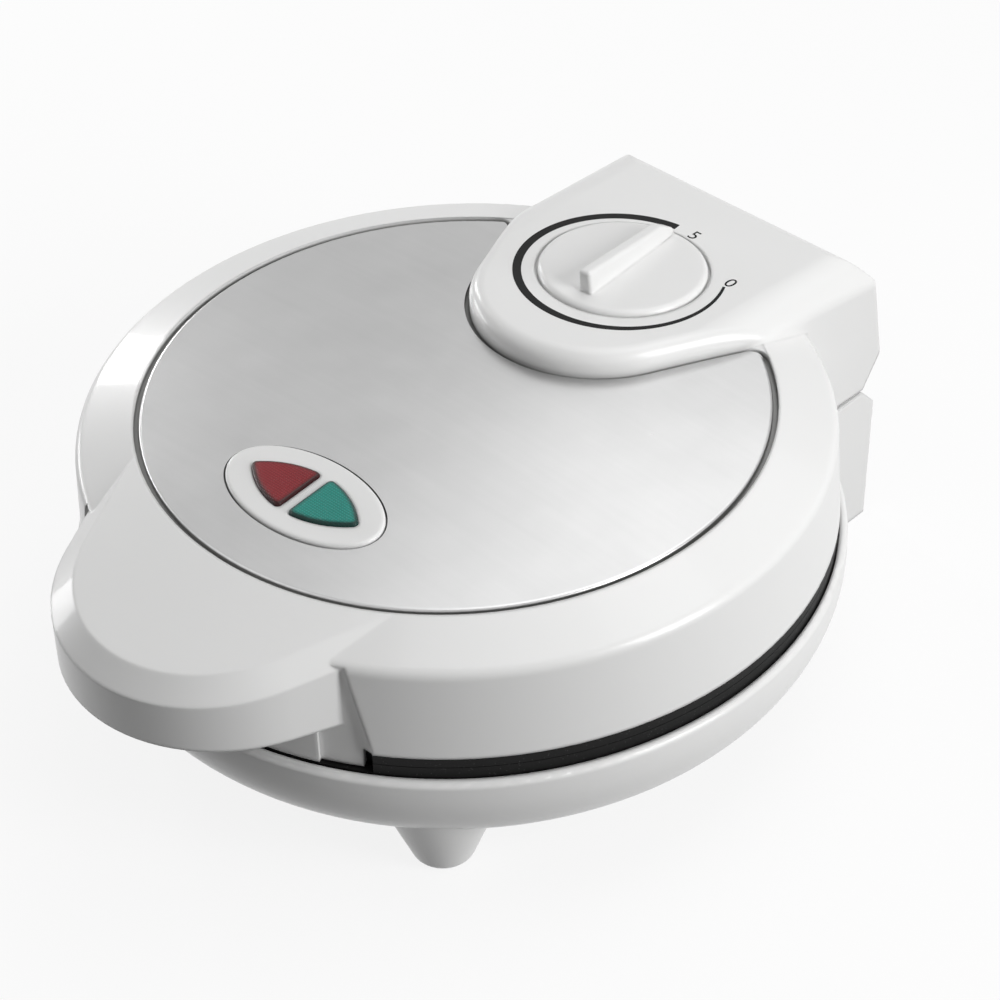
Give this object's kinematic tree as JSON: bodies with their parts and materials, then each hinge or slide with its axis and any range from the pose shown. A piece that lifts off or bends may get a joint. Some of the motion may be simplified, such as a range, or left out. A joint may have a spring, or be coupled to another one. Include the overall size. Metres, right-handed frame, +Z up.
{
  "type": "sandwich maker",
  "caption": "Round countertop sandwich maker with a hinged lid, canopy handle, steel cover, lamp bezel and a thermostat dial over the rear hinge.",
  "frame": {"origin": "on the table, under the middle of the whole outline", "axes": "+Z up, +Y towards the hinge, the handle points to -Y, +X to the right seen from the handle"},
  "size_m": [0.235, 0.2823, 0.1136],
  "materials": {
    "white_plastic": "gloss",
    "stainless_steel": "brushed",
    "coated_aluminium": "satin non-stick coat",
    "element_tube": "oxidised",
    "zinc_steel": "zinc coated",
    "ceramic": "unglazed",
    "brass": "satin",
    "aluminium": "satin",
    "red_lens": "gloss",
    "green_lens": "gloss",
    "black_plastic": "matte",
    "lamp_glass": "clear",
    "black_rubber": "matte",
    "steel": "satin"
  },
  "bodies": {
    "base": {"base_shell": "white_plastic", "lower_plate": "coated_aluminium", "lower_element": "element_tube", "lower_element_straps": "zinc_steel", "lower_heat_shield": "zinc_steel", "terminal_block": "ceramic", "cord_bushing": "black_rubber", "cord_clamp": "black_plastic", "base_screws": "steel", "hinge_pins": "steel"},
    "lid": {"lid_shell": "white_plastic", "lid_cover": "stainless_steel", "lamp_bezel": "white_plastic", "red_lens": "red_lens", "green_lens": "green_lens", "lamp_holder": "black_plastic", "red_lamp": "lamp_glass", "green_lamp": "lamp_glass", "thermostat_body": "ceramic", "thermostat_bracket": "zinc_steel", "upper_plate": "coated_aluminium", "upper_element": "element_tube", "upper_element_straps": "zinc_steel", "upper_heat_shield": "zinc_steel", "thermal_fuse": "aluminium", "lid_screws": "steel"},
    "knob": {"thermostat_knob": "white_plastic", "thermostat_spindle": "brass"}
  },
  "joints": [
    {"name": "lid_hinge", "type": "hinge", "parent": "base", "child": "lid", "pos_m": [0, 0.1322, 0.06], "axis": [-1, 0, 0], "range_deg": [0, 105]},
    {"name": "knob_turn", "type": "hinge", "parent": "lid", "child": "knob", "pos_m": [0, 0.0779, 0.1034], "axis": [0, 0.071, 0.9975], "range_deg": [0, 296]}
  ]
}
